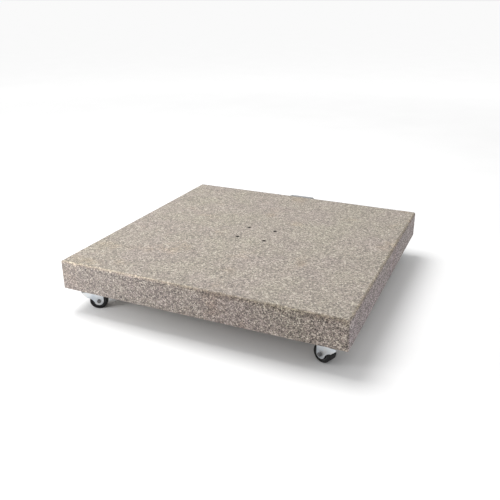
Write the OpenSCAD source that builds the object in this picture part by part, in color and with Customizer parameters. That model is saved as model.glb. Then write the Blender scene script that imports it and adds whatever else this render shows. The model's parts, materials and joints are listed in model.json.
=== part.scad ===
// Granite base for a garden parasol, on four swivel castors, with a drop handle at the rear.
// The floor is z = 0 and the origin is on it, under the middle of the slab. Front is -Y.

/* [Slab] */
// Side of the square slab
slab_w = 800; // [500:5:1000]
// Thickness of the slab
slab_t = 82; // [60:1:120]
// Chamfer along every arris of the stone
arris = 2.5; // [1:0.5:5]
// Distance between the mast bolt holes, both ways
bolt_pitch = 85; // [60:1:160]
// Diameter of the mast bolt holes
bolt_hole_d = 9; // [6:0.5:14]

/* [Castors] */
// Height of a castor, floor to slab
castor_h = 70; // [66:0.5:80]
// Swivel axis to the slab's edges
castor_inset = 45; // [40:1:100]
// Way the front left wheel trails from its swivel axis, degrees from +X
front_left_yaw = 34; // [0:1:359]
// Way the front right wheel trails
front_right_yaw = 158; // [0:1:359]
// Way the rear left wheel trails
rear_left_yaw = 71; // [0:1:359]
// Way the rear right wheel trails
rear_right_yaw = 118; // [0:1:359]
// Swivel axis to axle, seen from above
trail = 27; // [22:1:32]
// Side of the square mounting plate
plate_w = 60; // [56:1:70]
// Sheet thickness of the mounting plate
plate_t = 2.5; // [2:0.5:4]
// Distance between the mounting plate's screw holes
plate_pitch = 44; // [40:1:50]
// Sheet thickness of the fork
fork_t = 2; // [1.5:0.5:3]

/* [Wheels] */
// Diameter over the tyre
wheel_d = 50; // [44:1:50]
// Width of the tyre
wheel_w = 28; // [20:1:30]
// Thickness of the rubber
tyre_t = 7.5; // [5:0.5:9]

/* [Handle] */
// Width over the bail's two arms
handle_w = 96; // [80:1:160]
// Diameter of the bail's round bar
bar_d = 6; // [5:0.5:6]
// Hinge axis to the middle of the hand bar
drop = 52; // [46:1:60]
// Height of the hinge barrel above the top of the slab
barrel_proud = 1.5; // [0:0.5:3]

/* [Hidden] */
$fn = 64;
CORNERS = ["front_left", "front_right", "rear_left", "rear_right"];
CASTOR_PIECES = ["top_plate", "king_pin", "ball_ring", "fork", "thrust_washer",
                 "axle_sleeve", "axle_bolt", "axle_nut", "wheel_core", "tyre"];

slab_top = castor_h + slab_t;
castor_x = slab_w / 2 - castor_inset;
castor_side = [[-1, -1], [1, -1], [-1, 1], [1, 1]];
castor_yaw = [front_left_yaw, front_right_yaw, rear_left_yaw, rear_right_yaw];

fit = 0.05;                  // radial clearance of a pin in its hole
play = 0.1;                  // gap between faces that slide on each other
glue = 0.1;                  // glue line round an insert

// Screws and inserts, M6 for the castors and M5 for the handle
m6_r = 3;
m6_head_r = 5.77;
m6_head_h = 4;
m6_shank = 20;
m6_insert_r = 5;
m6_insert_l = 25;
m5_r = 2.5;
m5_head_r = 4.6;
m5_head_h = 2.6;
m5_shank = 15;
m5_insert_r = 4;
m5_insert_l = 20;
plate_hole_r = 3.3;
handle_hole_r = 2.75;

// Swivel head, from the top down
dish_r = 20.5;               // round dish pressed down out of the mounting plate
dish_bottom = castor_h - 9.5;
dish_floor_t = 2.5;
race_r = 15.5;               // pitch radius of the balls
ball_r = 1.75;
ball_count = 20;
ball_gap = 2.5;              // between the two races
head_r = 21;                 // round head pressed up out of the fork
head_top = dish_bottom - ball_gap;
head_h = 2.5;
crown_top = head_top - head_h;
crown_bottom = crown_top - fork_t;
pin_r = 4;
pin_head_r = 8;
pin_head_h = 2.4;
washer_t = 1.2;
washer_r = 9;

// Fork and axle
axle_z = wheel_d / 2;
leg_in = wheel_w / 2 + 1.5;  // middle of the wheel to the inside of a leg
leg_out = leg_in + fork_t;
leg_end_r = 12.5;            // rounded end of a leg, about the axle
leg_back = -18;              // rear edge of the crown, along the trail
leg_front = 22;
bend_r = 3.5;                // outside of the bend between crown and leg
scoop_r = 26;                // hollow in a leg's rear edge
scoop_depth = 4;
scoop_share = 0.66;          // its middle, from the crown's rear corner down to the leg's end
sleeve_r = 5;

// Wheel centre
core_r = wheel_d / 2 - tyre_t;
core_rim_t = 2.5;
core_rim_w = wheel_w - 2;
core_web_t = 5;
hub_r = 9;
hub_w = wheel_w + 1;
shoulder_r = 2.5;
rib_count = 6;
rib_t = 1.8;

// Handle
bar_r = bar_d / 2;
barrel_r = 5;
barrel_y = slab_w / 2 + barrel_r + 0.2;
barrel_z = slab_top + barrel_proud - barrel_r;
arm_x = handle_w / 2 - bar_r;
arm_bend = 5;                // centreline radius where an arm turns into the barrel
hand_bend = 14;              // centreline radius at the hand bar's corners
barrel_l = 2 * (arm_x - arm_bend);
end_l = 30;                  // length of each bar end inside the barrel
handle_plate_t = 2;
handle_plate_h = 36;
handle_screw_x = 30;
handle_screw_drop = [13, 28];

module at_castor(i) {
    translate([castor_side[i][0] * castor_x, castor_side[i][1] * castor_x, 0]) children();
}

module at_yaw(i) {
    at_castor(i) rotate([0, 0, castor_yaw[i]]) children();
}

module at_plate_holes() {
    for (x = [-1, 1], y = [-1, 1]) translate([x * plate_pitch / 2, y * plate_pitch / 2, 0]) children();
}

module at_handle_holes() {
    for (x = [-1, 1], d = handle_screw_drop)
        translate([x * handle_screw_x, slab_w / 2, barrel_z - d]) rotate([-90, 0, 0]) children();
}

// Turns a shape drawn across the fork, so that its z runs along the axle
module along_axle() {
    translate([trail, 0, axle_z]) rotate([90, 0, 0]) children();
}

module chamfered_square(w, d, c) {
    x = w / 2;
    y = d / 2;
    polygon([[-x + c, -y], [x - c, -y], [x, -y + c], [x, y - c],
             [x - c, y], [-x + c, y], [-x, y - c], [-x, -y + c]]);
}

module chamfered_block(w, d, h, c) {
    intersection() {
        linear_extrude(h, center = true) chamfered_square(w, d, c);
        rotate([90, 0, 0]) linear_extrude(d + 2, center = true) chamfered_square(w, h, c);
        rotate([90, 0, 90]) linear_extrude(w + 2, center = true) chamfered_square(d, h, c);
    }
}

module rounded_square(w, r) {
    square([w - 2 * r, w], center = true);
    square([w, w - 2 * r], center = true);
    for (x = [-1, 1], y = [-1, 1]) translate([x * (w / 2 - r), y * (w / 2 - r)]) circle(r);
}

module hex_prism(r, h) {
    linear_extrude(h) circle(r, $fn = 6);
}

module ring(outer, inner, h) {
    difference() {
        cylinder(r = outer, h = h);
        translate([0, 0, -1]) cylinder(r = inner, h = h + 2);
    }
}

// Threaded insert, closed at its far end, which points up
module insert(outer, bore, len) {
    difference() {
        cylinder(r = outer, h = len);
        translate([0, 0, -1]) cylinder(r = bore, h = len - 2);
    }
}

// Stone, drilled through for the mast bolts and blind for the inserts
module granite_slab() {
    color([0.72, 0.68, 0.62]) difference() {
        translate([0, 0, castor_h + slab_t / 2]) chamfered_block(slab_w, slab_w, slab_t, arris);
        for (x = [-1, 1], y = [-1, 1])
            translate([x * bolt_pitch / 2, y * bolt_pitch / 2, castor_h - 1])
                cylinder(d = bolt_hole_d, h = slab_t + 2);
        for (i = [0 : 3]) at_castor(i) at_plate_holes()
            translate([0, 0, castor_h - 1]) cylinder(r = m6_insert_r + glue, h = m6_insert_l + 2);
        at_handle_holes()
            translate([0, 0, -m5_insert_l - 1]) cylinder(r = m5_insert_r + glue, h = m5_insert_l + 2);
    }
}

module castor_inserts() {
    color([0.75, 0.62, 0.35]) for (i = [0 : 3]) at_castor(i) at_plate_holes()
        translate([0, 0, castor_h]) insert(m6_insert_r, m6_r + fit, m6_insert_l);
}

module castor_screws() {
    color([0.66, 0.67, 0.68]) for (i = [0 : 3]) at_castor(i) at_plate_holes()
        translate([0, 0, castor_h - plate_t]) {
            cylinder(r = m6_r, h = m6_shank);
            mirror([0, 0, 1]) hex_prism(m6_head_r, m6_head_h);
        }
}

// Mounting plate with a round dish pressed down, whose underside is the upper race
module top_plate() {
    color([0.8, 0.82, 0.84]) difference() {
        union() {
            translate([0, 0, castor_h - plate_t]) linear_extrude(plate_t) rounded_square(plate_w, 6);
            translate([0, 0, dish_bottom]) cylinder(r = dish_r, h = castor_h - dish_bottom - 1);
        }
        translate([0, 0, dish_bottom + dish_floor_t]) cylinder(r = dish_r - plate_t, h = castor_h);
        translate([0, 0, dish_bottom - 1]) cylinder(r = pin_r, h = castor_h);
        translate([0, 0, head_top + ball_gap / 2]) ball_track();
        at_plate_holes() translate([0, 0, castor_h - plate_t - 1]) cylinder(r = plate_hole_r, h = plate_t + 2);
    }
}

module ball_track() {
    rotate_extrude() translate([race_r, 0]) circle(ball_r + play);
}

// Rivet that hangs the fork from the mounting plate
module king_pin() {
    lower = crown_bottom - 2 * play - washer_t;
    upper = dish_bottom + dish_floor_t;
    color([0.7, 0.71, 0.72]) union() {
        translate([0, 0, lower - pin_head_h]) cylinder(r = pin_head_r, h = pin_head_h);
        translate([0, 0, lower - 0.5]) cylinder(r = pin_r, h = upper - lower + 1);
        translate([0, 0, upper]) cylinder(r = pin_head_r, h = pin_head_h);
    }
}

module ball_ring() {
    color([0.9, 0.9, 0.9]) for (k = [0 : ball_count - 1])
        rotate([0, 0, k * 360 / ball_count]) translate([race_r, 0, head_top + ball_gap / 2])
            sphere(ball_r, $fn = 32);
}

// Side view of the fork: crown on top, legs narrowing to a round end about the axle
module fork_outline() {
    back = [leg_back, crown_bottom - 3];
    run = trail - back[0];
    rise = back[1] - axle_z;
    touch = atan2(rise, run) + asin(leg_end_r / norm([run, rise]));
    touch_pt = [trail - leg_end_r * sin(touch), axle_z - leg_end_r * cos(touch)];
    front = trail + leg_end_r;
    scoop_at = back + scoop_share * (touch_pt - back);
    difference() {
        union() {
            translate([trail, axle_z]) circle(leg_end_r);
            polygon([[leg_back, crown_top], [leg_front, crown_top], [front, axle_z + 19], [front, axle_z],
                     [trail, axle_z], touch_pt, back]);
        }
        translate(scoop_at - (scoop_r - scoop_depth) * [sin(touch), cos(touch)]) circle(scoop_r, $fn = 120);
    }
}

// End view of the fork: a channel with rounded bends
module fork_channel() {
    difference() {
        channel_block(leg_out, crown_top, bend_r);
        translate([0, -1]) channel_block(leg_in, crown_bottom + 1, bend_r - fork_t);
    }
}

module channel_block(half, top, r) {
    translate([-half, 0]) square([2 * half, top - r]);
    translate([-half + r, 0]) square([2 * (half - r), top]);
    for (s = [-1, 1]) translate([s * (half - r), top - r]) circle(r);
}

module fork() {
    color([0.8, 0.82, 0.84]) difference() {
        union() {
            intersection() {
                rotate([90, 0, 0]) linear_extrude(2 * leg_out + 2, center = true) fork_outline();
                rotate([90, 0, 90]) linear_extrude(200, center = true) fork_channel();
            }
            translate([0, 0, crown_top - 0.5]) cylinder(r = head_r, h = head_h + 0.5);
        }
        translate([0, 0, crown_bottom - 1]) cylinder(r = pin_r + fit, h = head_top);
        translate([0, 0, head_top + ball_gap / 2]) ball_track();
        along_axle() cylinder(r = m6_r + fit, h = 3 * leg_out, center = true);
    }
}

module thrust_washer() {
    color([0.75, 0.76, 0.77]) translate([0, 0, crown_bottom - play - washer_t])
        ring(washer_r, pin_r + play, washer_t);
}

// Tube clamped between the legs, on which the hub turns
module axle_sleeve() {
    color([0.72, 0.73, 0.74]) along_axle() translate([0, 0, -leg_in]) ring(sleeve_r, m6_r + fit, 2 * leg_in);
}

module axle_bolt() {
    color([0.5, 0.5, 0.51]) along_axle() {
        translate([0, 0, -leg_out - 7]) cylinder(r = m6_r, h = 2 * leg_out + 7.5);
        translate([0, 0, leg_out]) hex_prism(m6_head_r, m6_head_h);
    }
}

module axle_nut() {
    color([0.5, 0.5, 0.51]) along_axle() translate([0, 0, -leg_out - 5]) difference() {
        hex_prism(m6_head_r, 5);
        translate([0, 0, -1]) cylinder(r = m6_r + fit, h = 7);
    }
}

module wheel_core() {
    color([0.2, 0.2, 0.21]) along_axle() difference() {
        union() {
            cylinder(r = hub_r, h = hub_w, center = true);
            cylinder(r = core_r - 1, h = core_web_t, center = true);
            translate([0, 0, -core_rim_w / 2]) ring(core_r, core_r - core_rim_t, core_rim_w);
            for (k = [0 : rib_count - 1]) rotate([0, 0, k * 360 / rib_count])
                translate([hub_r - 1, -rib_t / 2, -core_rim_w / 2 + 2])
                    cube([core_r - core_rim_t - hub_r + 2, rib_t, core_rim_w - 4]);
        }
        cylinder(r = sleeve_r + fit, h = 2 * hub_w, center = true);
    }
}

module tyre() {
    r = wheel_d / 2;
    half = wheel_w / 2;
    color([0.07, 0.07, 0.07]) along_axle() rotate_extrude($fn = 96) {
        translate([core_r, -half]) square([r - shoulder_r - core_r, wheel_w]);
        translate([core_r, -half + shoulder_r]) square([tyre_t, wheel_w - 2 * shoulder_r]);
        for (s = [-1, 1]) translate([r - shoulder_r, s * (half - shoulder_r)]) circle(shoulder_r);
    }
}

module handle_inserts() {
    color([0.75, 0.62, 0.35]) at_handle_holes() rotate([180, 0, 0]) insert(m5_insert_r, m5_r + fit, m5_insert_l);
}

// Back plate whose top edge is rolled into the hinge barrel
module handle_plate() {
    color([0.68, 0.69, 0.7]) difference() {
        union() {
            translate([-barrel_l / 2, slab_w / 2, barrel_z - handle_plate_h])
                cube([barrel_l, handle_plate_t, handle_plate_h]);
            translate([-barrel_l / 2, barrel_y, barrel_z]) rotate([0, 90, 0]) cylinder(r = barrel_r, h = barrel_l);
        }
        translate([-barrel_l, barrel_y, barrel_z]) rotate([0, 90, 0]) cylinder(r = bar_r + fit, h = 2 * barrel_l);
        at_handle_holes() translate([0, 0, -1]) cylinder(r = handle_hole_r, h = handle_plate_t + 2);
    }
}

module bar_elbow(r) {
    rotate_extrude(angle = 90) translate([r, 0]) circle(bar_r);
}

// One round bar bent to a U, its two ends turned in to the barrel
module handle_bail() {
    color([0.7, 0.71, 0.72]) translate([0, barrel_y, barrel_z]) {
        for (s = [0, 1]) mirror([s, 0, 0]) {
            translate([barrel_l / 2 - end_l, 0, 0]) rotate([0, 90, 0]) cylinder(r = bar_r, h = end_l);
            translate([barrel_l / 2, 0, -arm_bend]) rotate([90, 0, 0]) bar_elbow(arm_bend);
            translate([arm_x, 0, -drop + hand_bend]) cylinder(r = bar_r, h = drop - hand_bend - arm_bend);
            translate([arm_x - hand_bend, 0, -drop + hand_bend]) rotate([-90, 0, 0]) bar_elbow(hand_bend);
        }
        translate([-arm_x + hand_bend, 0, -drop]) rotate([0, 90, 0])
            cylinder(r = bar_r, h = 2 * (arm_x - hand_bend));
    }
}

module handle_screws() {
    color([0.66, 0.67, 0.68]) at_handle_holes() {
        translate([0, 0, handle_plate_t - m5_shank]) cylinder(r = m5_r, h = m5_shank);
        translate([0, 0, handle_plate_t]) cylinder(r = m5_head_r, h = m5_head_h);
    }
}

granite_slab();
castor_inserts();
castor_screws();
for (i = [0 : 3]) {
    at_castor(i) top_plate();
    at_castor(i) king_pin();
    at_yaw(i) ball_ring();
    at_yaw(i) fork();
    at_yaw(i) thrust_washer();
    at_yaw(i) axle_sleeve();
    at_yaw(i) axle_bolt();
    at_yaw(i) axle_nut();
    at_yaw(i) wheel_core();
    at_yaw(i) tyre();
}
handle_inserts();
handle_plate();
handle_bail();
handle_screws();
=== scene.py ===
import json
import math
import random

import bmesh
import bpy
from mathutils import Matrix, Vector, noise

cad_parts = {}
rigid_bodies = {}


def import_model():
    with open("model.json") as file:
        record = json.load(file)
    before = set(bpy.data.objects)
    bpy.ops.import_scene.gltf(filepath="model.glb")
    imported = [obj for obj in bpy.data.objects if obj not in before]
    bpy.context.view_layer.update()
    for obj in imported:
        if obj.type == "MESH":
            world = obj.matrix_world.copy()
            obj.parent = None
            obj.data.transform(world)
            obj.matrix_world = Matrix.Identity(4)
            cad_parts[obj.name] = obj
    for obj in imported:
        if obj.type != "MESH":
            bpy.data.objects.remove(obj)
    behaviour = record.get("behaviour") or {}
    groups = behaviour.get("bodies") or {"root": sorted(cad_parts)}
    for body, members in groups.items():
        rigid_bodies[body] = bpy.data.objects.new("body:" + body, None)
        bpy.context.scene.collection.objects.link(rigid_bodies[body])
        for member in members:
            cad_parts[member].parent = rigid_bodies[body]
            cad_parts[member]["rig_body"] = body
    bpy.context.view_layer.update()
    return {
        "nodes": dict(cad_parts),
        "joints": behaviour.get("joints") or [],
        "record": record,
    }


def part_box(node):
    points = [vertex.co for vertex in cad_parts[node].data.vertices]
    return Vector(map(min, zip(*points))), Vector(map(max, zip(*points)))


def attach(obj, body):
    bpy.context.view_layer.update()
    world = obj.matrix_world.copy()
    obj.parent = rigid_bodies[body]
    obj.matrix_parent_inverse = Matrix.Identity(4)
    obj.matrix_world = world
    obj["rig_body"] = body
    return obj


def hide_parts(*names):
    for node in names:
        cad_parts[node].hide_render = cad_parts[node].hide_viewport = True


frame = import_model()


# ---------------------------------------------------------------- granite slab
# One block of speckled granite, sawn to size, then flamed on its top and edges, which leaves
# a fine broken skin. The arrises are eased by hand: crisp in places, chipped in others.
# Four holes for the mast's foot plate are drilled right through the middle.

MM = 0.001

slab_low, slab_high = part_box("granite_slab")
slab_middle = (slab_low + slab_high) / 2
slab_half = (slab_high - slab_low) / 2
mast = next(m for m in frame["record"]["mounts"] if m["name"] == "mast_bolts")
mast_pitch = mast["dims"]["spacing_x_mm"] * MM
mast_hole_r = mast["dims"]["hole_r_mm"] * MM

FINE_LINES = (0, 0.7, 1.4, 2.2, 3.1, 4.2, 5.5, 7.2, 9.5)   # mm in from an edge
LINE_GAP = 5 * MM
EASE_CRISP = 2.4 * MM          # radius of an arris that was left crisp
EASE_WORN = 6.5 * MM           # and of one that was knocked about
SKIN = 0.22 * MM               # height of the flamed skin's slow waves
CHIP = 2.6 * MM                # deepest chip out of an arris
EDGE, UNDER, BORE = 1, 2, 3    # material places on the slab; 0 is its top


def new_piece(name, verts, faces, material=None, sharp=35):
    """A mesh object with smooth shading, kept crisp where its faces turn more than `sharp` degrees."""
    mesh = bpy.data.meshes.new(name)
    mesh.from_pydata([tuple(v) for v in verts], [], faces)
    mesh.validate()
    work = bmesh.new()
    work.from_mesh(mesh)
    bmesh.ops.recalc_face_normals(work, faces=work.faces)
    work.to_mesh(mesh)
    work.free()
    return dress(shown(name, mesh), material, sharp)


def shown(name, mesh):
    piece = bpy.data.objects.new(name, mesh)
    bpy.context.scene.collection.objects.link(piece)
    return piece


def dress(piece, material, sharp=35):
    """Shading and finish of a piece."""
    piece.data.shade_smooth()
    piece.data.set_sharp_from_angle(angle=math.radians(sharp))
    if material:
        piece.data.materials.clear()
        piece.data.materials.append(material)
    return piece


def grid_lines(half):
    """Places of the net's lines along one side: close together at both ends, even between."""
    ends = [half - f * MM for f in FINE_LINES]
    inner = ends[-1]
    count = max(1, round(2 * inner / LINE_GAP))
    between = [-inner + 2 * inner * i / count for i in range(1, count)]
    return [-e for e in ends] + between + ends[::-1]


def box_net(half):
    """Vertices and quads of a closed box whose six sides are nets that share their border points."""
    lines = [grid_lines(h) for h in half]
    count = [len(a) for a in lines]
    index, verts, faces = {}, [], []

    def corner(key):
        if key not in index:
            index[key] = len(verts)
            verts.append(Vector([lines[a][key[a]] for a in range(3)]))
        return index[key]

    for axis in range(3):
        u, v = (axis + 1) % 3, (axis + 2) % 3
        for side in (0, count[axis] - 1):
            for i in range(count[u] - 1):
                for j in range(count[v] - 1):
                    ring = []
                    for di, dj in ((0, 0), (1, 0), (1, 1), (0, 1)):
                        key = [0, 0, 0]
                        key[axis], key[u], key[v] = side, i + di, j + dj
                        ring.append(corner(tuple(key)))
                    faces.append(ring if side else ring[::-1])
    return verts, faces


def ease_radius(p):
    """The arris is crisp along the left of the front and worn towards the right."""
    along = (p.x / slab_half.x + 1) / 2
    worn = 0.5 + 0.5 * noise.noise(p * 9 + Vector((3.1, 7.7, 1.9)))
    share = min(1, max(0, 1.6 * along - 0.55 + 0.5 * (worn - 0.5)))
    if p.z < 0:
        share = 0.25 * share
    return EASE_CRISP + (EASE_WORN - EASE_CRISP) * share


def worked_stone(p, half):
    """Moves a point of the sharp box onto the eased, flamed and chipped block."""
    r = ease_radius(p)
    core = Vector([min(max(p[a], -(half[a] - r)), half[a] - r) for a in range(3)])
    out = p - core
    if out.length < 1e-9:
        return p
    out.normalize()
    on_arris = 1 - max(abs(c) for c in out)
    depth = SKIN * (noise.noise(p * 70) + 0.6 * noise.noise(p * 190) - 0.8)
    bite = max(0, noise.noise(p * 48 + Vector((0, 0, 5))) + 0.45 * noise.noise(p * 130) - 0.05)
    depth -= CHIP * (r / EASE_WORN) * min(1, 3.4 * on_arris) * bite
    return core + out * (r + depth)


def drill(r, rim, low, high, steps=40):
    """A drill's cut, with a small worn rim at both faces, as one closed mesh round Z."""
    rings = [(r + rim + 1 * MM, low - 1 * MM), (r + rim, low), (r, low + rim), (r, high - rim),
             (r + rim, high), (r + rim + 1 * MM, high + 1 * MM)]
    return lathe(rings, steps, closed_ends=True)


def lathe(profile, steps, closed_ends=False, loop=False):
    """Spins a profile of (radius, height) points round Z. loop joins its last point to its first."""
    verts = [p for r, z in profile for p in circle(r, z, steps)]
    return verts, ring_skin(len(profile), steps, closed_ends, loop)


def circle(r, z, steps):
    return [(r * math.cos(2 * math.pi * k / steps), r * math.sin(2 * math.pi * k / steps), z)
            for k in range(steps)]


def ring_skin(count, steps, closed_ends=False, loop=False):
    """Quads between neighbouring rings of points, in order, and a lid on each end."""
    faces = []
    for i in range(count if loop else count - 1):
        a, b = i * steps, (i + 1) % count * steps
        faces += [(a + k, a + (k + 1) % steps, b + (k + 1) % steps, b + k) for k in range(steps)]
    if closed_ends:
        last = (count - 1) * steps
        faces += [tuple(range(steps))[::-1], tuple(range(last, last + steps))]
    return faces


def moved(part, matrix):
    verts, faces = part
    return [matrix @ Vector(v) for v in verts], faces


def cut_away(piece, tool_part):
    """Cuts a closed mesh out of the piece."""
    tool = new_piece("cutter", *tool_part)
    cut = piece.modifiers.new("cut", "BOOLEAN")
    cut.operation = "DIFFERENCE"
    cut.solver = "EXACT"
    cut.object = tool
    bpy.context.view_layer.update()
    shaped = bpy.data.meshes.new_from_object(piece.evaluated_get(bpy.context.evaluated_depsgraph_get()))
    piece.modifiers.remove(cut)
    piece.data = shaped
    bpy.data.objects.remove(tool)


class Shader:
    """A material's node tree, wired with short calls."""

    def __init__(self, name):
        self.material = bpy.data.materials.new(name)
        self.material.use_nodes = True
        self.tree = self.material.node_tree
        self.skin = self.tree.nodes["Principled BSDF"]
        self.place = self.tree.nodes.new("ShaderNodeTexCoord").outputs["Object"]

    def put(self, kind, inputs=(), **settings):
        made = self.tree.nodes.new("ShaderNode" + kind)
        for key, value in settings.items():
            setattr(made, key, value)
        for key, value in dict(inputs).items():
            if isinstance(value, bpy.types.NodeSocket):
                self.tree.links.new(value, made.inputs[key])
            else:
                made.inputs[key].default_value = value
        return made

    def cloud(self, scale, detail=4, rough=0.55, at=None):
        inputs = {"Vector": at or self.place, "Scale": scale, "Detail": detail, "Roughness": rough}
        return self.put("TexNoise", inputs).outputs["Fac"]

    def cells(self, scale, at=None):
        return self.put("TexVoronoi", {"Vector": at or self.place, "Scale": scale})

    def ramp(self, value, stops, steps=False):
        made = self.put("ValToRGB", {"Fac": value})
        band = made.color_ramp
        band.interpolation = "CONSTANT" if steps else "LINEAR"
        while len(band.elements) < len(stops):
            band.elements.new(0.5)
        for element, (where, colour) in zip(band.elements, stops):
            element.position = where
            element.color = (*colour, 1) if isinstance(colour, tuple) else (colour, colour, colour, 1)
        return made.outputs["Color"]

    def fade(self, value, full, none, strength=1.0):
        """`strength` where the value reaches `full`, falling evenly to nothing at `none`."""
        reach = {"Value": value, "From Min": full, "From Max": none, "To Min": strength, "To Max": 0.0}
        return self.put("MapRange", reach).outputs[0]

    def sums(self, kind, a, b, c=None):
        inputs = {0: a, 1: b} if c is None else {0: a, 1: b, 2: c}
        return self.put("Math", inputs, operation=kind).outputs[0]

    def mix(self, share, a, b, kind="MIX"):
        made = self.put("Mix", data_type="RGBA", blend_type=kind)
        for key, value in ((0, share), (6, a), (7, b)):
            if isinstance(value, bpy.types.NodeSocket):
                self.tree.links.new(value, made.inputs[key])
            elif key == 0:
                made.inputs[key].default_value = value
            else:
                made.inputs[key].default_value = (*value, 1)
        return made.outputs[2]

    def wear(self, socket, value):
        """Feeds the finish: a socket's number, colour, or another node's output."""
        if isinstance(value, bpy.types.NodeSocket):
            self.tree.links.new(value, self.skin.inputs[socket])
        elif isinstance(value, tuple):
            self.skin.inputs[socket].default_value = (*value, 1)
        else:
            self.skin.inputs[socket].default_value = value

    def relief(self, height, depth, strength=1.0):
        bump = self.put("Bump", {"Height": height, "Distance": depth, "Strength": strength})
        self.tree.links.new(bump.outputs["Normal"], self.skin.inputs["Normal"])


# Minerals of this stone, from the darkest to the lightest
MICA = (0.100, 0.088, 0.080)
BIOTITE = (0.165, 0.142, 0.128)
SMOKE = (0.232, 0.204, 0.184)
BUFF = (0.308, 0.274, 0.240)
PINK = (0.378, 0.330, 0.298)
CREAM = (0.490, 0.446, 0.392)


def tinted(s, share, colour, tint):
    """Multiplies the colour by a tint, as far as the share goes."""
    return s.mix(share, colour, s.mix(1.0, colour, tint, "MULTIPLY"))


def arris_marks(s, colour):
    """What handling and weather did to the block: arrises, front and right faces, mast holes' rims."""
    place = s.put("SeparateXYZ", {"Vector": s.place}).outputs
    from_front = s.sums("SUBTRACT", place["Y"], slab_low.y)
    from_rear = s.sums("SUBTRACT", slab_high.y, place["Y"])
    from_top = s.sums("SUBTRACT", slab_high.z, place["Z"])
    from_right = s.sums("SUBTRACT", slab_high.x, place["X"])
    ragged = s.cloud(46.0, 6, 0.75)
    along = s.sums("MULTIPLY_ADD", s.cloud(11.0, 3), 0.22, place["X"])
    worn = s.fade(along, 0.16, 0.0)
    crisp = s.sums("SUBTRACT", 1.0, worn)
    rightward = s.fade(along, 0.42, -0.24)
    leftward = s.sums("SUBTRACT", 1.0, rightward)

    # a broken painted highlight along the front arris where it is crisp
    line = s.fade(s.sums("MAXIMUM", from_front, from_top), 4.0 * MM, 7.2 * MM)
    broken = s.ramp(s.cloud(28.0, 4, 0.7), ((0.34, 0.35), (0.50, 1.0)))
    light = s.sums("MULTIPLY", s.sums("MULTIPLY", line, crisp), broken)
    lit = tinted(s, light, colour, (1.52, 1.46, 1.35))

    # ragged brown bands of painted shade where the front and right arrises are worn, and a thin grey band of
    # painted shade along the rear arris
    front_edge = s.sums("MAXIMUM", s.sums("MULTIPLY", from_front, 1.8), from_top)
    front_band = s.fade(s.sums("MULTIPLY_ADD", ragged, 46 * MM, front_edge), 23 * MM, 40 * MM)
    right_edge = s.sums("MAXIMUM", from_right, s.sums("MULTIPLY", from_top, 0.8))
    right_band = s.fade(s.sums("MULTIPLY_ADD", ragged, 22 * MM, right_edge), 12 * MM, 19.5 * MM)
    dark = s.sums("MAXIMUM", s.sums("MULTIPLY", front_band, worn), right_band)
    arris_shaded = tinted(s, dark, lit, (0.79, 0.745, 0.67))
    rear_arris_shade = s.fade(s.sums("MAXIMUM", from_rear, from_top), 5 * MM, 10 * MM, 0.8)
    rear_shaded = tinted(s, rear_arris_shade, arris_shaded, (0.83, 0.845, 0.87))

    # the front face: paler to the left and darker to the right, which is painted light and shade, with
    # calmer grain to the left and a warmer tone to the right; and a cool tint painted on the right face,
    # which lies in shade
    front = s.fade(from_front, 1 * MM, 3 * MM)
    paler = s.sums("MULTIPLY", s.sums("MULTIPLY", front, leftward), 0.26)
    calmed = s.mix(paler, rear_shaded, (0.315, 0.276, 0.262))
    warmed = tinted(s, s.sums("MULTIPLY", front, rightward), calmed, (0.915, 0.905, 0.86))
    lilac = tinted(s, s.fade(from_right, 1 * MM, 3 * MM), warmed, (1.03, 1.02, 1.10))

    # painted shade in and round the mast holes
    out_x = s.sums("SUBTRACT", s.sums("ABSOLUTE", place["X"], 0.0), mast_pitch / 2)
    out_y = s.sums("SUBTRACT", s.sums("ABSOLUTE", place["Y"], 0.0), mast_pitch / 2)
    out = s.sums("SQRT", s.sums("MULTIPLY_ADD", out_x, out_x, s.sums("MULTIPLY", out_y, out_y)), 0.0)
    return s.mix(s.fade(out, 5 * MM, 7.5 * MM, 0.8), lilac, (0.05, 0.044, 0.040))


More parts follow.
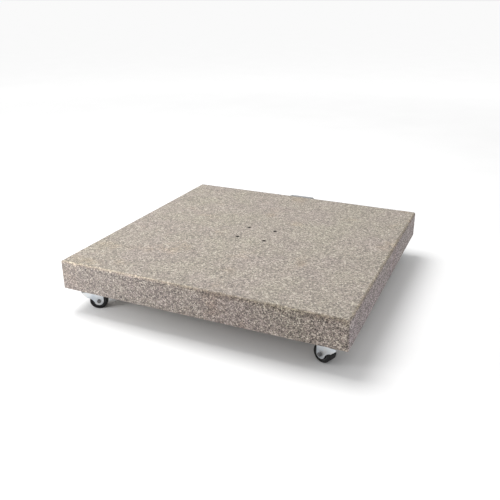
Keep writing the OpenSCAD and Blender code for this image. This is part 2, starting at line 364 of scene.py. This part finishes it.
def granite(name, tint, rough_depth, calm=0.0, grain=1.0, punch=1.0):
    """Grains of feldspar, quartz and mica, with slow clouds of lilac, buff and rust through them.

    calm evens the colours out, grain packs more grains into a length, and punch deepens their contrast.
    """
    s = Shader(name)
    shift = s.put("TexNoise", {"Vector": s.place, "Scale": 260.0, "Detail": 2.0}).outputs["Color"]
    swirl = s.put("VectorMath", {0: shift, 1: (0.5, 0.5, 0.5)}, operation="SUBTRACT").outputs[0]
    pull = {0: swirl, 1: (3.5 * MM,) * 3, 2: s.place}
    bent = s.put("VectorMath", pull, operation="MULTIPLY_ADD").outputs[0]
    coarse = s.cells(285 * grain, bent)
    fine = s.cells(760 * grain, bent)
    pick = s.put("SeparateColor", {"Color": coarse.outputs["Color"]}).outputs[0]
    pick_fine = s.put("SeparateColor", {"Color": fine.outputs["Color"]}).outputs[1]
    minerals = ((0.0, MICA), (0.06, BIOTITE), (0.18, SMOKE), (0.40, BUFF), (0.66, PINK), (0.84, CREAM))
    grains = s.ramp(pick, minerals, steps=True)
    chips = s.ramp(pick_fine, ((0.0, 0.55), (0.15, 0.86), (0.45, 1.03), (0.80, 1.28)), steps=True)
    speckle = s.mix(1.0, grains, chips, "MULTIPLY")
    sharpened = s.put("Gamma", {"Color": speckle, "Gamma": punch}).outputs[0]
    clouds = s.ramp(s.cloud(6.5, 5, 0.6), ((0.38, (1.0, 1.01, 0.97)), (0.62, (1.0, 0.97, 1.0))))
    clouded = s.mix(1.0, sharpened, clouds, "MULTIPLY")
    stain = s.ramp(s.cloud(9.0, 6, 0.65, at=bent), ((0.56, (1.0, 1.0, 1.0)), (0.76, (1.05, 0.97, 0.86))))
    stained = s.mix(1.0, clouded, stain, "MULTIPLY")
    patch = s.ramp(s.cloud(22.0, 4, 0.6), ((0.3, (0.94, 0.94, 0.94)), (0.7, (1.05, 1.05, 1.05))))
    toned = s.mix(1.0, stained, patch, "MULTIPLY")
    evened = s.mix(calm, toned, BUFF)
    s.wear("Base Color", arris_marks(s, s.mix(1.0, evened, tint, "MULTIPLY")))
    s.wear("Roughness", s.ramp(pick, ((0.0, 0.50), (0.3, 0.72), (1.0, 0.9))))
    s.wear("Specular IOR Level", 0.3)
    broken = s.sums("MULTIPLY_ADD", coarse.outputs["Distance"], 0.55, s.cloud(420.0, 5, 0.7))
    s.relief(s.sums("ADD", broken, s.cloud(120.0, 3)), rough_depth)
    return s.material


granite_top = granite("granite_flamed_top", (1.045, 1.055, 1.025), 1.0 * MM, calm=0.16)
granite_edge = granite("granite_flamed_edge", (1.64, 1.71, 1.85), 1.4 * MM, grain=1.3, punch=1.45)
granite_sawn = granite("granite_sawn_under", (0.95, 0.95, 0.95), 0.15 * MM)


def bored_stone():
    """The drilled walls, painted near black: the painted shade of deep holes."""
    s = Shader("granite_bored")
    # painted shade: the bore walls are coloured near black
    dust_and_shade = ((0.3, (0.012, 0.011, 0.010)), (0.7, (0.035, 0.031, 0.028)))
    s.wear("Base Color", s.ramp(s.cloud(300.0, 4), dust_and_shade))
    s.wear("Roughness", 0.8)
    s.relief(s.cloud(900.0, 3), 0.2 * MM)
    return s.material


granite_bored = bored_stone()

net_verts, net_faces = box_net(slab_half)
slab = new_piece("stone_slab", [worked_stone(p, slab_half) + slab_middle for p in net_verts], net_faces)
bore = drill(mast_hole_r, 0.5 * MM, slab_low.z, slab_high.z)
for x in (-mast_pitch / 2, mast_pitch / 2):
    for y in (-mast_pitch / 2, mast_pitch / 2):
        cut_away(slab, moved(bore, Matrix.Translation((x, y, 0))))
dress(slab, granite_top, 50)
slab.data.materials.append(granite_edge)
slab.data.materials.append(granite_sawn)
slab.data.materials.append(granite_bored)
for face in slab.data.polygons:
    near_holes = max(abs(face.center.x), abs(face.center.y)) < mast_pitch / 2 + mast_hole_r
    if near_holes and abs(face.normal.z) < 0.6:
        face.material_index = BORE
    elif face.normal.z < -0.7:
        face.material_index = UNDER
    elif face.normal.z < 0.55 or face.center.z < slab_high.z - 9 * MM:
        face.material_index = EDGE
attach(slab, "base")
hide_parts("granite_slab")


# ------------------------------------------------------------ inserts in the stone
# Turned brass bushes with a thread inside, set in epoxy in blind holes: sixteen under the
# castors and four behind the handle. They are hidden once the part is together.


def brass():
    """Bright brass with the fine rings of a turning tool."""
    s = Shader("turned_brass")
    s.wear("Base Color", s.ramp(s.cloud(300.0, 3), ((0.3, (0.62, 0.44, 0.18)), (0.7, (0.78, 0.60, 0.30)))))
    s.wear("Metallic", 1.0)
    s.wear("Roughness", s.ramp(s.cloud(900.0, 2), ((0.3, 0.28), (0.7, 0.42))))
    rings = s.put("TexWave", {"Vector": s.place, "Scale": 320.0}, bands_direction="Z").outputs["Fac"]
    s.relief(rings, 0.05 * MM, 0.5)
    return s.material


turned_brass = brass()
for node in ("castor_inserts", "handle_inserts"):
    dress(frame["nodes"][node], turned_brass, 40)


# ------------------------------------------------------------------ castor plates
# The mounting plate is pressed from 2.5 mm steel with a round dish pushed down in its middle,
# whose underside is the upper ball race. Plates and forks are bright zinc plated.

CORNERS = ("front_left", "front_right", "rear_left", "rear_right")
PLATE_SHEET = 2.5 * MM
race_low, race_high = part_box("front_left_ball_ring")      # the painted shade band lies about the balls


def zinc():
    """Bright plating, painted dark and unmetallic at the heights next to the ball race: painted shade of the
    slab over the swivel heads.
    """
    s = Shader("bright_zinc")
    bloom = s.cloud(34.0, 5, 0.6)
    blue, white, straw = (0.54, 0.59, 0.65), (0.68, 0.71, 0.74), (0.76, 0.745, 0.72)
    plating = s.ramp(bloom, ((0.30, blue), (0.55, white), (0.75, straw)))
    # painted shade: a dark, unmetallic band round each swivel head, from just below the ball race to above
    # it, with a wavering edge
    height = s.put("SeparateXYZ", {"Vector": s.place}).outputs["Z"]
    reach = {"Value": height, "From Min": race_low.z - 5.2 * MM, "From Max": race_high.z + 8 * MM}
    level = s.put("MapRange", reach).outputs[0]
    shade_reach = s.sums("MULTIPLY_ADD", s.cloud(240.0, 3), 0.12, s.sums("ADD", level, -0.06))
    swivel_shade = s.ramp(shade_reach, ((0.0, 0.0), (0.10, 0.0), (0.20, 1.0), (0.72, 1.0), (0.90, 0.0)))
    s.wear("Base Color", s.mix(swivel_shade, plating, (0.045, 0.038, 0.030)))
    s.wear("Metallic", s.ramp(swivel_shade, ((0.0, 0.85), (1.0, 0.0))))
    polish = s.ramp(s.cloud(260.0, 5, 0.7), ((0.25, 0.24), (0.75, 0.46)))
    s.wear("Roughness", s.mix(swivel_shade, polish, (0.5, 0.5, 0.5)))
    s.relief(s.sums("ADD", s.cloud(95.0, 3), s.cloud(1400.0, 2)), 0.12 * MM, 0.5)
    return s.material


def softened(node, name, material, width, segments=2):
    """A copy of a CAD piece with its pressed or cut edges rounded over, standing for that node."""
    work = bmesh.new()
    work.from_mesh(frame["nodes"][node].data)
    bmesh.ops.remove_doubles(work, verts=work.verts, dist=0.004 * MM)
    bmesh.ops.dissolve_limit(work, angle_limit=math.radians(1.2), verts=work.verts, edges=work.edges)
    pairs = [e for e in work.edges if len(e.link_faces) == 2]
    hard = [e for e in pairs if e.calc_face_angle(0) > math.radians(32)]
    bmesh.ops.bevel(work, geom=hard, offset=width, segments=segments, affect="EDGES", profile=0.5,
                    clamp_overlap=True)
    mesh = bpy.data.meshes.new(name)
    work.to_mesh(mesh)
    work.free()
    piece = dress(shown(name, mesh), material, 28)
    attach(piece, frame["nodes"][node]["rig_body"])
    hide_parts(node)
    return piece


bright_zinc = zinc()
for corner in CORNERS:
    softened(f"{corner}_top_plate", f"{corner}_pressed_plate", bright_zinc, 0.5 * MM)


# ---------------------------------------------------------------- king pins, races
# A steel rivet holds each fork to its plate. Twenty balls run between plate and fork, and a
# washer keeps the rivet's domed lower head off the fork.

RIVET_R = 4 * MM
RIVET_HEAD = 2.4 * MM          # height of each of its heads
HEAD_STEPS = 7                 # points on a quarter round of a rivet's or screw's head


def bare_steel():
    """Zinc plated rivets, washers and screws."""
    s = Shader("plated_fastener")
    s.wear("Base Color", s.ramp(s.cloud(120.0, 4), ((0.3, (0.48, 0.49, 0.50)), (0.7, (0.68, 0.68, 0.67)))))
    s.wear("Metallic", 1.0)
    s.wear("Roughness", s.ramp(s.cloud(700.0, 3), ((0.3, 0.30), (0.7, 0.50))))
    s.relief(s.cloud(1500.0, 3), 0.05 * MM, 0.6)
    return s.material


def ball_steel():
    """Polished balls, half under grease."""
    s = Shader("greased_balls")
    s.wear("Base Color", s.ramp(s.cloud(180.0, 3), ((0.35, (0.30, 0.27, 0.22)), (0.6, (0.75, 0.75, 0.76)))))
    s.wear("Metallic", 1.0)
    s.wear("Roughness", s.ramp(s.cloud(400.0, 3), ((0.3, 0.12), (0.7, 0.35))))
    return s.material


def rivet_profile(head_r, bottom, top):
    """The domed lower head, the plain shank, and the set upper head with the dimple of its setting."""
    quarter = [math.pi / 2 * k / HEAD_STEPS for k in range(1, HEAD_STEPS + 1)]
    dome = [(head_r * math.sin(a), bottom + RIVET_HEAD * (1 - math.cos(a)) ** 0.7) for a in quarter]
    shank = [(RIVET_R, bottom + RIVET_HEAD), (RIVET_R, top - RIVET_HEAD)]
    set_head = [(head_r - 0.3 * MM, top - RIVET_HEAD), (head_r, top - 0.9 * RIVET_HEAD),
                (head_r - 0.4 * MM, top - 0.3 * RIVET_HEAD), (0.6 * head_r, top)]
    dimple = [(0.3 * head_r, top - 0.5 * MM), (0.2 * MM, top - 0.6 * MM)]
    return [(0.2 * MM, bottom)] + dome + shank + set_head + dimple


plated_steel = bare_steel()
greased_balls = ball_steel()
for corner in CORNERS:
    low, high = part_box(f"{corner}_king_pin")
    middle = (low + high) / 2
    rivet = lathe(rivet_profile((high.x - low.x) / 2, low.z, high.z), 40, closed_ends=True)
    upright = Matrix.Translation((middle.x, middle.y, 0))
    pin = new_piece(f"{corner}_rivet", *moved(rivet, upright), plated_steel)
    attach(pin, "base")
    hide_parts(f"{corner}_king_pin")
    dress(frame["nodes"][f"{corner}_ball_ring"], greased_balls, 60)
    softened(f"{corner}_thrust_washer", f"{corner}_washer", plated_steel, 0.2 * MM)


# -------------------------------------------------------------------------- forks
# Each fork is one pressing of 2 mm steel: a flat crown with a round dish up to the balls, and
# two legs bent down to the axle.

for corner in CORNERS:
    softened(f"{corner}_fork", f"{corner}_pressed_fork", bright_zinc, 0.55 * MM, 3)


# ------------------------------------------------------------------ axles and nuts
# An M6 bolt goes through both legs and a steel tube between them, and its nut clamps the
# legs to the tube. Bolts and nuts are dull zinc, and their heads are chamfered hexagons.

M6_R = 3 * MM
M6_PITCH = 1 * MM
M6_FLATS = 10 * MM
THREAD_DEPTH = 0.55 * MM
HEX_STEPS = 48


def hexagon(across_flats, bottom, top, chamfer_bottom=False, hole=0.0):
    """A hexagon head or nut round Z, with its corners turned off at 30 degrees."""
    flat = across_flats / 2
    face_r = 0.95 * flat
    drop = math.tan(math.radians(30))
    turn = [2 * math.pi * k / HEX_STEPS for k in range(HEX_STEPS)]
    reach = [flat / math.cos((a + math.pi / 6) % (math.pi / 3) - math.pi / 6) for a in turn]

    def outline(z, slope):
        """The full hexagon, moved along Z where it stands out of the chamfer's circle."""
        return [(r * math.cos(a), r * math.sin(a), z + max(0.0, r - face_r) * drop * slope)
                for a, r in zip(turn, reach)]

    inner = hole or 0.25 * MM
    rings = [circle(inner, bottom, HEX_STEPS),
             circle(face_r if chamfer_bottom else 0.98 * flat, bottom, HEX_STEPS),
             outline(bottom, 1 if chamfer_bottom else 0),
             outline(top, -1),
             circle(face_r, top, HEX_STEPS),
             circle(inner, top, HEX_STEPS)]
    verts = [p for ring in rings for p in ring]
    return verts, ring_skin(len(rings), HEX_STEPS, closed_ends=not hole, loop=bool(hole))


def threaded_bar(r, pitch, bottom, top, plain_from):
    """A bar whose lower end carries a real helical thread, up to plain_from, and a turned tip."""
    steps, per_turn = 28, 6
    count = int((plain_from - bottom) / pitch * per_turn) + 1
    verts = []
    for i in range(count):
        z = bottom + i * pitch / per_turn
        fade = min(1, (plain_from - z) / pitch)
        tip = min(1, 0.75 + (z - bottom) / (2 * pitch))
        for k in range(steps):
            a = 2 * math.pi * k / steps
            phase = ((z - bottom) / pitch - k / steps) % 1
            out = (r - THREAD_DEPTH * abs(2 * phase - 1) * fade) * tip
            verts.append((out * math.cos(a), out * math.sin(a), z))
    verts += circle(r, top, steps)
    return verts, ring_skin(count + 1, steps, closed_ends=True)


def joined(parts):
    """One mesh out of several (verts, faces) pairs."""
    verts, faces = [], []
    for more_verts, more_faces in parts:
        base = len(verts)
        verts += more_verts
        faces += [tuple(base + i for i in f) for f in more_faces]
    return verts, faces


def dull_zinc():
    """The thin matt plating of cheap bolts."""
    s = Shader("dull_zinc")
    tones = ((0.3, (0.11, 0.113, 0.118)), (0.72, (0.22, 0.217, 0.213)))
    s.wear("Base Color", s.ramp(s.cloud(420.0, 4), tones))
    s.wear("Metallic", 0.9)
    s.wear("Roughness", s.ramp(s.cloud(900.0, 3), ((0.3, 0.34), (0.7, 0.55))))
    s.relief(s.cloud(1600.0, 3), 0.05 * MM, 0.6)
    return s.material


def castor_frame(corner):
    """A matrix at the middle of a castor's wheel, whose Z runs along the axle to the bolt's head."""
    roll = next(j for j in frame["joints"] if j["name"] == f"{corner}_roll")
    axle = Vector(roll["axis"]).normalized()
    middle = Vector(roll["pos_m"])
    along = -axle
    up = Vector((0, 0, 1))
    across = up.cross(along)
    turn = Matrix((up, across, along)).transposed().to_4x4()
    return Matrix.Translation(middle) @ turn


def axle_span(corner, node):
    """How far a piece reaches along the axle from the middle of the wheel, both ways."""
    inward = castor_frame(corner).inverted()
    heights = [(inward @ v.co).z for v in frame["nodes"][node].data.vertices]
    return min(heights), max(heights)


axle_zinc = dull_zinc()
for corner in CORNERS:
    spot = castor_frame(corner)
    bolt_low, bolt_high = axle_span(corner, f"{corner}_axle_bolt")
    nut_low, nut_high = axle_span(corner, f"{corner}_axle_nut")
    leg_face = -nut_high
    head = hexagon(M6_FLATS, leg_face, bolt_high)
    shank = threaded_bar(M6_R, M6_PITCH, bolt_low, leg_face + 0.5 * MM, nut_high + 2 * M6_PITCH)
    bolt = new_piece(f"{corner}_bolt", *moved(joined((head, shank)), spot), axle_zinc, 25)
    ring = hexagon(M6_FLATS, nut_low, nut_high, chamfer_bottom=True, hole=M6_R + 0.05 * MM)
    nut = new_piece(f"{corner}_nut", *moved(ring, spot), axle_zinc, 25)
    for piece, node in ((bolt, "axle_bolt"), (nut, "axle_nut")):
        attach(piece, f"{corner}_swivel")
        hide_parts(f"{corner}_{node}")
    dress(frame["nodes"][f"{corner}_axle_sleeve"], plated_steel, 40)


# ------------------------------------------------------------------------- wheels
# A moulded plastic centre with six ribs runs on the axle tube. Its black rubber tyre has a
# faint mould line round the tread, soft shoulders and one shallow groove in each side.

TYRE_SHOULDER = 2.5 * MM
TYRE_GROOVE = 0.7 * MM
MOULD_LINE = 0.12 * MM         # its height above the tread
TREAD_DROP = 0.1 * MM          # the tread lies this much inside the wheel's outer size


def plastic():
    """Charcoal nylon, fine grained from its mould."""
    s = Shader("moulded_plastic")
    tones = ((0.3, (0.030, 0.031, 0.034)), (0.7, (0.050, 0.050, 0.052)))
    s.wear("Base Color", s.ramp(s.cloud(60.0, 3), tones))
    s.wear("Roughness", s.ramp(s.cloud(500.0, 3), ((0.3, 0.38), (0.7, 0.55))))
    s.relief(s.cloud(2200.0, 2), 0.04 * MM, 0.6)
    return s.material


def rubber():
    """Black rubber with a little floor dust in it."""
    s = Shader("tyre_rubber")
    dust_and_shade = s.cloud(110.0, 6, 0.7)
    s.wear("Base Color", s.ramp(dust_and_shade, ((0.42, (0.007, 0.007, 0.008)), (0.78, (0.035, 0.034, 0.032)))))
    s.wear("Roughness", s.ramp(dust_and_shade, ((0.3, 0.50), (0.7, 0.78))))
    s.wear("Specular IOR Level", 0.3)
    s.relief(s.sums("ADD", s.cloud(1100.0, 4), s.cloud(90.0, 2)), 0.10 * MM, 0.6)
    return s.material


core_plastic = plastic()
tyre_rubber = rubber()


def tyre_profile(r, bore, half):
    """Section of the tyre: bore, a groove in each side, round shoulders, and a tread with a mould line."""
    floor_of_groove = half - TYRE_GROOVE
    side = [(bore, half - 0.3 * MM), (bore + 0.5 * MM, half), (bore + 1.6 * MM, half),
            (bore + 2.0 * MM, floor_of_groove), (bore + 2.7 * MM, floor_of_groove), (bore + 3.1 * MM, half)]
    quarter = [math.pi / 2 * k / 7 for k in range(8)]
    shoulder = [(r - TYRE_SHOULDER * (1 - math.sin(a)), half - TYRE_SHOULDER * (1 - math.cos(a)))
                for a in quarter]
    tread = [(r, 3 * MM), (r, 0.35 * MM), (r + MOULD_LINE, 0)]
    upper = side + shoulder + tread
    lower = [(a, -z) for a, z in reversed(upper[:-1])]
    return upper + lower


for corner in CORNERS:
    softened(f"{corner}_wheel_core", f"{corner}_wheel_centre", core_plastic, 0.3 * MM)
    spot = castor_frame(corner)
    tyre_low, tyre_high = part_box(f"{corner}_tyre")
    tyre_r = (tyre_high.z - tyre_low.z) / 2
    half = axle_span(corner, f"{corner}_tyre")[1]
    bore_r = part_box(f"{corner}_wheel_core")[1].z - spot.translation.z
    ring = lathe(tyre_profile(tyre_r - TREAD_DROP, bore_r, half), 96, loop=True)
    tyre = new_piece(f"{corner}_rubber_tyre", *moved(ring, spot), tyre_rubber, 40)
    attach(tyre, f"{corner}_wheel")
    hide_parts(f"{corner}_tyre")


# ------------------------------------------------------------------ castor screws
# Sixteen M6 hexagon screws, four to a plate, hold the castors to the inserts in the stone.
# Each has a thin round flange under its head.

HOLE_OUT = 22 * MM             # the plate's holes, from its middle both ways
screw_low, screw_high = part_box("castor_screws")
plate_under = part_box("front_left_top_plate")[1].z - PLATE_SHEET


def flange_screw():
    """One screw pointing up into the stone: thin flange against the plate, head below it, shank above."""
    flange = [(M6_R, plate_under), (5.6 * MM, plate_under), (5.8 * MM, plate_under - 0.5 * MM),
              (4.6 * MM, plate_under - 0.8 * MM), (M6_R, plate_under - 0.8 * MM)]
    head_top = plate_under - 0.6 * MM
    head = hexagon(M6_FLATS, 0, head_top - screw_low.z)
    head_down = Matrix.Translation((0, 0, head_top)) @ Matrix.Rotation(math.pi, 4, "X")
    shank = [(M6_R, plate_under - 1 * MM), (M6_R, screw_high.z - 0.6 * MM), (2.4 * MM, screw_high.z)]
    return joined((lathe(flange, 36, loop=True), moved(head, head_down), lathe(shank, 24, closed_ends=True)))


random.seed(11)
parts = []
for corner in CORNERS:
    low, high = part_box(f"{corner}_top_plate")
    middle = (low + high) / 2
    for x in (-HOLE_OUT, HOLE_OUT):
        for y in (-HOLE_OUT, HOLE_OUT):
            spot = Matrix.Translation((middle.x + x, middle.y + y, 0))
            tightened = Matrix.Rotation(random.uniform(0, math.pi / 3), 4, "Z")
            parts.append(moved(flange_screw(), spot @ tightened))
screws = new_piece("castor_flange_screws", *joined(parts), plated_steel, 25)
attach(screws, "base")
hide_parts("castor_screws")


# ------------------------------------------------------------------- handle plate
# A strip of 2 mm galvanised steel lies flat on the rear face. Its top edge is rolled right
# round the bail's bar to make the hinge barrel, and the roll's end leaves a narrow slit.


def galvanised():
    """Dark grey hot-dip zinc with its spangle."""
    s = Shader("galvanised_steel")
    spangle = s.cells(240.0)
    tone = s.put("SeparateColor", {"Color": spangle.outputs["Color"]}).outputs[0]
    s.wear("Base Color", s.ramp(tone, ((0.0, (0.12, 0.125, 0.13)), (1.0, (0.20, 0.205, 0.21)))))
    s.wear("Metallic", 0.9)
    s.wear("Roughness", s.ramp(tone, ((0.0, 0.38), (1.0, 0.56))))
    s.relief(s.sums("ADD", s.cloud(600.0, 4), spangle.outputs["Distance"]), 0.08 * MM, 0.6)
    return s.material


galvanised_steel = galvanised()
lift = next(j for j in frame["joints"] if j["name"] == "handle_lift")
hinge = Vector(lift["pos_m"])
plate_low, plate_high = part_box("handle_plate")
plate_half = (plate_high.x - plate_low.x) / 2
barrel_r = plate_high.z - hinge.z
HANDLE_SHEET = 2 * MM
ROLL_START = math.radians(180)
ROLL_END = math.radians(-52)
FOOT_CORNER = 7 * MM           # radius of the strip's two lower corners


def sheet_path():
    """The strip's middle line, from its foot up the stone and round the bar, as (y, z) points."""
    r = barrel_r - HANDLE_SHEET / 2
    y = slab_high.y + HANDLE_SHEET / 2
    flat = [Vector((y, plate_low.z + k / 14 * (hinge.z - plate_low.z))) for k in range(14)]
    steps = 30
    turn = [ROLL_START + (ROLL_END - ROLL_START) * k / steps for k in range(steps + 1)]
    return flat + [Vector((hinge.y + r * math.cos(a), hinge.z + r * math.sin(a))) for a in turn]


def foot_rise(x):
    """How much higher the strip's lower edge lies at x, where its corners are rounded."""
    gap = plate_half - abs(x)
    if gap >= FOOT_CORNER:
        return 0
    return FOOT_CORNER - math.sqrt(max(0, FOOT_CORNER ** 2 - (FOOT_CORNER - gap) ** 2))


def rolled_sheet():
    """The strip as a closed mesh: its bent section repeated along X, with a lid at each end."""
    path = sheet_path()
    columns = 48
    outer, inner = [], []
    for i, p in enumerate(path):
        run = (path[min(len(path) - 1, i + 1)] - path[max(0, i - 1)]).normalized()
        normal = Vector((run.y, -run.x))
        outer.append(p - normal * HANDLE_SHEET / 2)
        inner.append(p + normal * HANDLE_SHEET / 2)
    section = outer + inner[::-1]
    verts, faces = [], []
    for k in range(columns + 1):
        x = -plate_half + 2 * plate_half * k / columns
        for q in section:
            low_share = max(0.0, 1 - (q.y - plate_low.z) / (2.5 * FOOT_CORNER))
            verts.append((x, q.x, q.y + foot_rise(x) * min(1, low_share)))
    n = len(section)
    for c in range(columns):
        a, b = c * n, (c + 1) * n
        faces += [(a + k, b + k, b + (k + 1) % n, a + (k + 1) % n) for k in range(n)]
    for c in (0, columns):
        a = c * n
        lid = [(a + k, a + k + 1, a + n - 2 - k, a + n - 1 - k) for k in range(len(outer) - 1)]
        faces += [f[::-1] for f in lid] if c else lid
    return verts, faces


strip = new_piece("rolled_handle_plate", *rolled_sheet(), galvanised_steel, 35)
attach(strip, "base")
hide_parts("handle_plate")


# -------------------------------------------------------------------- handle bail
# One round 6 mm bar bent to a U, galvanised after bending. Its ends turn inward and sit in
# the barrel from both sides, so it hangs from them and lifts through just over half a turn.

bail_low, bail_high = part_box("handle_bail")
bar_r = (bail_high.y - bail_low.y) / 2
arm_x = bail_high.x - bar_r
hand_z = bail_low.z + bar_r
TOP_BEND = 5 * MM
HAND_BEND = 14 * MM
END_LENGTH = 30 * MM


def arc(cx, cz, r, start, end, steps):
    turn = [math.radians(start + (end - start) * k / steps) for k in range(steps + 1)]
    return [(cx + r * math.cos(a), cz + r * math.sin(a)) for a in turn]


def bail_path():
    """Middle line of the bar, from one hidden end round to the other, as (x, z) points."""
    half = [(arm_x - TOP_BEND - END_LENGTH, hinge.z), (arm_x - TOP_BEND - END_LENGTH / 2, hinge.z)]
    half += arc(arm_x - TOP_BEND, hinge.z - TOP_BEND, TOP_BEND, 90, 0, 8)
    half += arc(arm_x - HAND_BEND, hand_z + HAND_BEND, HAND_BEND, 0, -90, 12)
    return half + [(0, hand_z)] + [(-x, z) for x, z in reversed(half)]


def swept_bar(path, r, steps=28):
    verts = []
    for i, (x, z) in enumerate(path):
        ahead, behind = path[min(i + 1, len(path) - 1)], path[max(i - 1, 0)]
        run = Vector((ahead[0] - behind[0], 0, ahead[1] - behind[1])).normalized()
        across = Vector((-run.z, 0, run.x))
        for k in range(steps):
            a = 2 * math.pi * k / steps
            out = across * r * math.cos(a) + Vector((0, 1, 0)) * r * math.sin(a)
            verts.append(Vector((x, hinge.y, z)) + out)
    return verts, ring_skin(len(path), steps, closed_ends=True)


bail = new_piece("bent_bail", *swept_bar(bail_path(), bar_r), galvanised_steel, 50)
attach(bail, "handle")
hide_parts("handle_bail")


# ------------------------------------------------------------------ handle screws
# Four M5 screws hold the plate to its inserts. Their heads are domed and have a socket, here
# a plain round one.

handle_screw_low, handle_screw_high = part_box("handle_screws")
plate_face = slab_high.y + HANDLE_SHEET
DOME_R = 4.6 * MM
M5_R = 2.5 * MM
row_x = (handle_screw_high.x - handle_screw_low.x) / 2 - DOME_R
rows_z = (handle_screw_high.z - DOME_R, handle_screw_low.z + DOME_R)


def dome_screw():
    """One screw lying along Z: its shank in the stone, a domed head on the plate, a socket in the head."""
    head_out = handle_screw_high.y
    rise = head_out - plate_face
    shank = [(M5_R, handle_screw_low.y), (M5_R, plate_face)]
    dome = [(DOME_R, plate_face), (DOME_R, plate_face + 0.35 * rise)]
    dome += [(DOME_R * math.cos(a), plate_face + rise * (0.35 + 0.65 * math.sin(a)))
             for a in [math.pi / 2 * k / HEAD_STEPS for k in range(1, 6)]]
    socket = [(1.75 * MM, head_out), (1.5 * MM, head_out - 0.1 * MM), (1.45 * MM, plate_face + 0.5 * MM)]
    return lathe(shank + dome + socket, 36, closed_ends=True)


parts = []
for x in (-row_x, row_x):
    for z in rows_z:
        rearward = Matrix.Translation((x, 0, z)) @ Matrix.Rotation(-math.pi / 2, 4, "X")
        parts.append(moved(dome_screw(), rearward))
dome_screws = new_piece("handle_dome_screws", *joined(parts), plated_steel, 30)
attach(dome_screws, "base")
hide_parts("handle_screws")


# ------------------------------------------------------------------------- studio
# A seamless white floor that glows a little far away, a big soft light up on the left, a small
# weak one in front and an even sky: the top is brightest, the right side in shade.

FLOOR_HALF = 900.0             # so wide that its far edge lies at the very top of the main view
GLOW_STARTS = 1.2              # metres from the middle, just outside the shadow
GLOW_FULL = 4.5


def studio_floor():
    """Matt white paper."""
    s = Shader("studio_paper")
    s.wear("Base Color", s.ramp(s.cloud(3.0, 2), ((0.3, (0.84, 0.84, 0.84)), (0.7, (0.86, 0.86, 0.86)))))
    s.wear("Roughness", 0.9)
    s.wear("Specular IOR Level", 0.0)
    away = s.put("VectorMath", {0: s.place}, operation="LENGTH").outputs["Value"]
    s.wear("Emission Color", s.fade(away, GLOW_FULL, GLOW_STARTS, 0.36))
    s.wear("Emission Strength", 1.0)
    return s.material


signs = ((-1, -1), (1, -1), (1, 1), (-1, 1))
floor_corners = [(FLOOR_HALF * x, FLOOR_HALF * y, 0) for x, y in signs]
floor = new_piece("studio_floor", floor_corners, [(0, 1, 2, 3)], studio_floor())

world = bpy.data.worlds.new("studio_sky")
bpy.context.scene.world = world
world.use_nodes = True
sky = world.node_tree.nodes["Background"].inputs
sky["Color"].default_value = (1.0, 1.0, 1.0, 1)
sky["Strength"].default_value = 0.7


def soft_light(name, place, aim, size, watts):
    """A round soft light that the camera can't see."""
    lamp = bpy.data.lights.new(name, "AREA")
    lamp.shape = "DISK"
    lamp.size = size
    lamp.energy = watts
    light = bpy.data.objects.new(name, lamp)
    light.visible_camera = False
    light.location = place
    light.rotation_euler = (Vector(aim) - Vector(place)).to_track_quat("-Z", "Y").to_euler()
    bpy.context.scene.collection.objects.link(light)


soft_light("key_light", (-0.9, 0.1, 2.8), (0, 0, 0.1), 2.0, 71)
soft_light("left_fill", (-0.9, -0.95, 0.4), (-0.4, -0.35, 0.1), 0.4, 5)

CAMERA_PLACE = (0.672, -1.543, 0.800)
CAMERA_HEADING = 24.2          # degrees left of straight ahead
CAMERA_TILT = 22.6             # degrees down
camera_data = bpy.data.cameras.new("camera")
camera_data.lens = 43.3
camera_data.sensor_width = 36
camera = bpy.data.objects.new("camera", camera_data)
camera.location = CAMERA_PLACE
camera.rotation_euler = (math.radians(90 - CAMERA_TILT), 0, math.radians(CAMERA_HEADING))
bpy.context.scene.collection.objects.link(camera)
bpy.context.scene.camera = camera
bpy.context.scene.view_settings.view_transform = "Standard"
